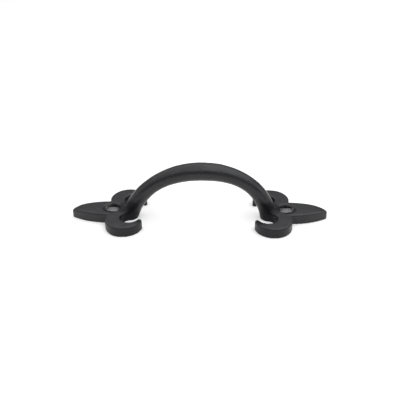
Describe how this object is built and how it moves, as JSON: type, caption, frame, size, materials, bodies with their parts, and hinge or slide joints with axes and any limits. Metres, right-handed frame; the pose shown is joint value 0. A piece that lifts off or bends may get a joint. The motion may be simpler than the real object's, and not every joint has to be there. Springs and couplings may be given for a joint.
{
  "type": "fleur-de-lis pull",
  "caption": "Arched round grip between end plates cut as lilies, with countersunk screw holes; fixes to the front of a drawer or cabinet door.",
  "frame": {"origin": "middle of the pull on its mounting plane, halfway between the two screw holes", "axes": "+X along the pull from screw hole to screw hole, +Y across it, +Z out from the mounting plane towards the crown of the grip"},
  "size_m": [0.14, 0.0402, 0.0334],
  "materials": {
    "black_iron": "satin black coat over cast iron, soft edges, slightly uneven from the casting"
  },
  "bodies": {
    "root": {"pull": "black_iron"}
  },
  "joints": []
}
